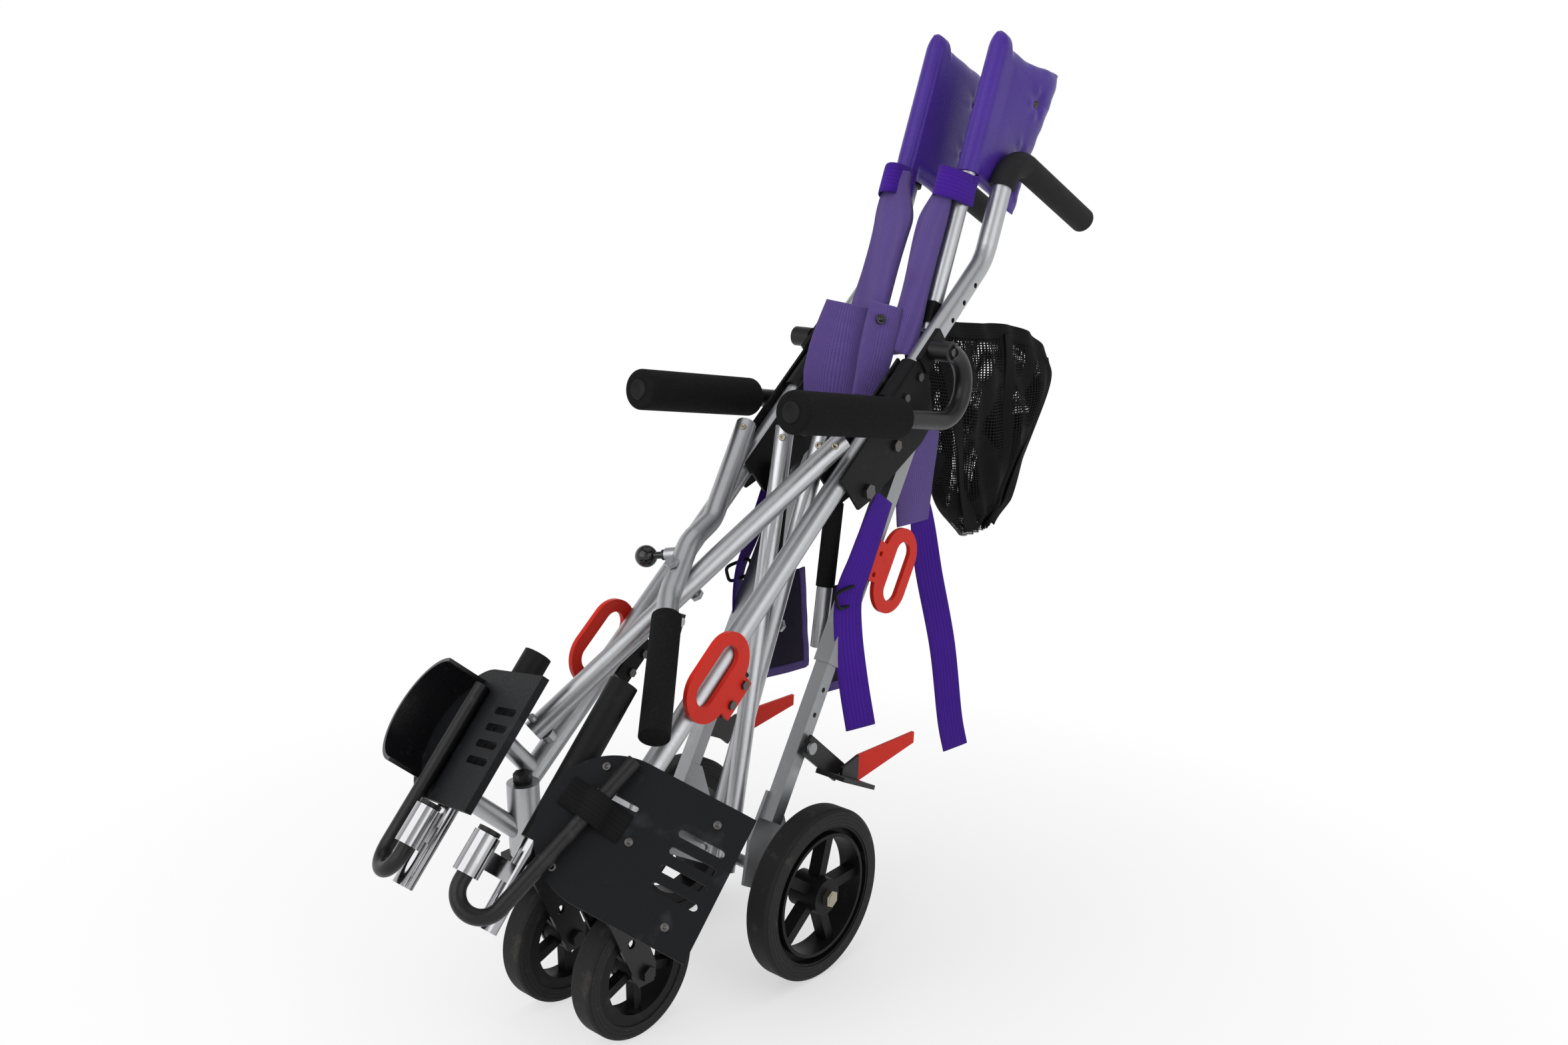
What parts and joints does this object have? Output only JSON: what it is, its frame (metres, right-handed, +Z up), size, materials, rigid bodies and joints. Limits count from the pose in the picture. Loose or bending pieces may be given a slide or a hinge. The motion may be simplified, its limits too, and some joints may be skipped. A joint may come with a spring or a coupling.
{
  "type": "special needs buggy",
  "caption": "Folding special needs buggy, folded side to side: tube frames, cross tubes, wheels and casters, swing-up armrests, leg rests with footplates, head pads and a mesh bag.",
  "frame": {"origin": "middle of the part's box in X and Y, on the floor under the four wheels", "axes": "+Z up, +Y towards the push handles, +X towards the occupant's left side"},
  "size_m": [0.3866, 1.0818, 1.0882],
  "materials": {
    "silver_tube": "satin anodised",
    "grey_tube": "satin",
    "black_plastic": "matte",
    "black_rubber": "matte foam",
    "tyre": "matte",
    "purple_vinyl": "semi gloss vinyl",
    "purple_canvas": "matte weave",
    "black_mesh": "open mesh",
    "red_paint": "gloss",
    "chrome": "polished",
    "bolt_steel": "plated",
    "black_metal": "satin"
  },
  "bodies": {
    "left_frame": {"left_main_tube": "silver_tube", "left_back_post": "silver_tube", "left_bracket": "black_plastic", "left_frame_bolts": "bolt_steel", "left_rest_holder": "black_plastic", "left_push_grip": "black_rubber", "left_front_tiedown": "red_paint", "left_head_pad": "purple_vinyl", "left_back_canvas": "purple_canvas", "mesh_bag": "black_mesh"},
    "left_leg_body": {"left_rear_leg": "grey_tube", "left_leg_lower": "grey_tube", "left_rear_tiedown": "red_paint", "leg_strap": "purple_canvas"},
    "left_wheel": {"left_rear_tyre": "tyre", "left_rear_rim": "black_plastic"},
    "left_brake": {"left_brake_lever": "black_metal"},
    "left_caster": {"left_caster_fork": "black_metal"},
    "left_caster_wheel": {"left_caster_tyre": "tyre", "left_caster_rim": "black_plastic"},
    "left_armrest": {"left_arm_tube": "black_metal", "left_arm_grip": "black_rubber"},
    "left_legrest": {"left_rest_tube": "chrome"},
    "left_foot": {"left_foot_tube": "black_metal", "left_footplate": "black_plastic"},
    "left_seat": {"left_seat_rail": "grey_tube", "left_seat_panel": "black_mesh"},
    "right_frame": {"right_main_tube": "silver_tube", "right_back_post": "silver_tube", "right_bracket": "black_plastic", "right_frame_bolts": "bolt_steel", "right_rest_holder": "black_plastic", "right_push_grip": "black_rubber", "right_front_tiedown": "red_paint", "right_head_pad": "purple_vinyl", "right_back_canvas": "purple_canvas"},
    "right_leg_body": {"right_rear_leg": "grey_tube", "right_leg_lower": "grey_tube", "right_rear_tiedown": "red_paint"},
    "right_wheel": {"right_rear_tyre": "tyre", "right_rear_rim": "black_plastic"},
    "right_brake": {"right_brake_lever": "black_metal"},
    "right_caster": {"right_caster_fork": "black_metal"},
    "right_caster_wheel": {"right_caster_tyre": "tyre", "right_caster_rim": "black_plastic"},
    "right_armrest": {"right_arm_tube": "black_metal", "right_arm_grip": "black_rubber"},
    "right_legrest": {"right_rest_tube": "chrome"},
    "right_foot": {"right_foot_tube": "black_metal", "right_footplate": "black_plastic"},
    "right_seat": {"right_seat_rail": "grey_tube", "right_seat_panel": "black_mesh"},
    "cross_left": {"rear_cross_left": "silver_tube"},
    "cross_right": {"rear_cross_right": "silver_tube"},
    "front_bar": {"front_cross": "silver_tube"},
    "lever": {"fold_lever": "silver_tube", "lever_grip": "black_rubber"},
    "knob": {"lever_knob": "black_plastic"},
    "stay": {"stay_link": "black_metal"}
  },
  "joints": [
    {"name": "unfold", "type": "hinge", "parent": "left_frame", "child": "left_leg_body", "pos_m": [0.04549, 0.11629, 0.62198], "axis": [1, 0, 0], "range_deg": [0, 48]},
    {"name": "cross_left_foot", "type": "hinge", "parent": "left_leg_body", "child": "cross_left", "pos_m": [-0.00182, -0.12743, 0.12756], "axis": [0, -0.972, 0.2351], "range_deg": [0, 28.3]},
    {"name": "cross_bolt", "type": "hinge", "parent": "cross_left", "child": "cross_right", "pos_m": [-0.02451, -0.05252, 0.38831], "axis": [0, -0.972, 0.2351], "range_deg": [-56.4, 0]},
    {"name": "cross_right_foot", "type": "hinge", "parent": "cross_right", "child": "right_leg_body", "pos_m": [-0.0472, -0.10508, 0.12215], "axis": [0, -0.972, 0.2351], "range_deg": [0, 28.3]},
    {"name": "right_unfold", "type": "hinge", "parent": "right_leg_body", "child": "right_frame", "pos_m": [-0.09451, 0.11629, 0.62198], "axis": [1, 0, 0], "range_deg": [-48.2, 0]},
    {"name": "front_bar_pivot", "type": "hinge", "parent": "right_frame", "child": "front_bar", "pos_m": [-0.09051, -0.33272, 0.3142], "axis": [0, 0.6845, -0.729], "range_deg": [0, 40.02]},
    {"name": "lever_bolt", "type": "hinge", "parent": "front_bar", "child": "lever", "pos_m": [-0.02451, -0.18245, 0.4553], "axis": [0, 0.6845, -0.729], "range_deg": [-79.84, 0]},
    {"name": "knob_pull", "type": "slide", "parent": "lever", "child": "knob", "axis": [-0.9524, -0.2223, -0.2087], "range_m": [0, 0.008], "stiffness_N_per_m": 400},
    {"name": "stay_swing", "type": "hinge", "parent": "front_bar", "child": "stay", "pos_m": [-0.03488, -0.18758, 0.41345], "axis": [-1, 0, 0], "range_deg": [0, 15]},
    {"name": "left_wheel_spin", "type": "hinge", "parent": "left_leg_body", "child": "left_wheel", "pos_m": [0.08349, -0.07346, 0.1], "axis": [1, 0, 0], "continuous": true},
    {"name": "left_brake_press", "type": "hinge", "parent": "left_leg_body", "child": "left_brake", "pos_m": [0.05949, -0.06545, 0.26403], "axis": [-1, 0, 0], "range_deg": [0, 17]},
    {"name": "left_caster_swivel", "type": "hinge", "parent": "left_frame", "child": "left_caster", "pos_m": [0.02949, -0.36097, 0.21926], "axis": [0, -0.0732, 0.9973], "range_deg": [-14, 14]},
    {"name": "left_caster_spin", "type": "hinge", "parent": "left_caster", "child": "left_caster_wheel", "pos_m": [0.02949, -0.30425, 0.075], "axis": [1, 0, 0], "continuous": true},
    {"name": "left_arm_lift", "type": "hinge", "parent": "left_frame", "child": "left_armrest", "pos_m": [0.06849, 0.12105, 0.70602], "axis": [-1, 0, 0], "range_deg": [0, 85]},
    {"name": "left_legrest_slide", "type": "slide", "parent": "left_frame", "child": "left_legrest", "axis": [0, -0.6401, -0.7683], "range_m": [0, 0.06]},
    {"name": "left_foot_swing", "type": "hinge", "parent": "left_legrest", "child": "left_foot", "pos_m": [0.02986, -0.50868, 0.26426], "axis": [0, -0.6401, -0.7683], "range_deg": [0, 80]},
    {"name": "left_seat_lift", "type": "hinge", "parent": "left_frame", "child": "left_seat", "pos_m": [0.01729, 0.01357, 0.55022], "axis": [-1, 0, 0], "range_deg": [0, 50]},
    {"name": "right_wheel_spin", "type": "hinge", "parent": "right_leg_body", "child": "right_wheel", "pos_m": [-0.13251, -0.07346, 0.1], "axis": [1, 0, 0], "continuous": true},
    {"name": "right_brake_press", "type": "hinge", "parent": "right_leg_body", "child": "right_brake", "pos_m": [-0.10851, -0.06545, 0.26403], "axis": [-1, 0, 0], "range_deg": [0, 17]},
    {"name": "right_caster_swivel", "type": "hinge", "parent": "right_frame", "child": "right_caster", "pos_m": [-0.07851, -0.36097, 0.21926], "axis": [0, -0.0732, 0.9973], "range_deg": [-14, 14]},
    {"name": "right_caster_spin", "type": "hinge", "parent": "right_caster", "child": "right_caster_wheel", "pos_m": [-0.07851, -0.30425, 0.075], "axis": [1, 0, 0], "continuous": true},
    {"name": "right_arm_lift", "type": "hinge", "parent": "right_frame", "child": "right_armrest", "pos_m": [-0.11751, 0.12105, 0.70602], "axis": [-1, 0, 0], "range_deg": [0, 85]},
    {"name": "right_legrest_slide", "type": "slide", "parent": "right_frame", "child": "right_legrest", "axis": [0, -0.6401, -0.7683], "range_m": [0, 0.06]},
    {"name": "right_foot_swing", "type": "hinge", "parent": "right_legrest", "child": "right_foot", "pos_m": [-0.06409, -0.50454, 0.26081], "axis": [0, 0.6401, 0.7683], "range_deg": [0, 80]},
    {"name": "right_seat_lift", "type": "hinge", "parent": "right_frame", "child": "right_seat", "pos_m": [-0.06631, 0.01357, 0.55022], "axis": [-1, 0, 0], "range_deg": [0, 50]}
  ],
  "couplings": [
    {"joint": "cross_left_foot", "follows": "unfold", "ratio": 0.58544},
    {"joint": "cross_bolt", "follows": "unfold", "ratio": -1.1709},
    {"joint": "cross_right_foot", "follows": "unfold", "ratio": 0.58544},
    {"joint": "right_unfold", "follows": "unfold", "ratio": -1},
    {"joint": "front_bar_pivot", "follows": "unfold", "ratio": 0.82961},
    {"joint": "lever_bolt", "follows": "unfold", "ratio": -1.6592},
    {"joint": "left_seat_lift", "follows": "unfold", "ratio": 1.0375},
    {"joint": "right_seat_lift", "follows": "unfold", "ratio": 1.0375}
  ]
}
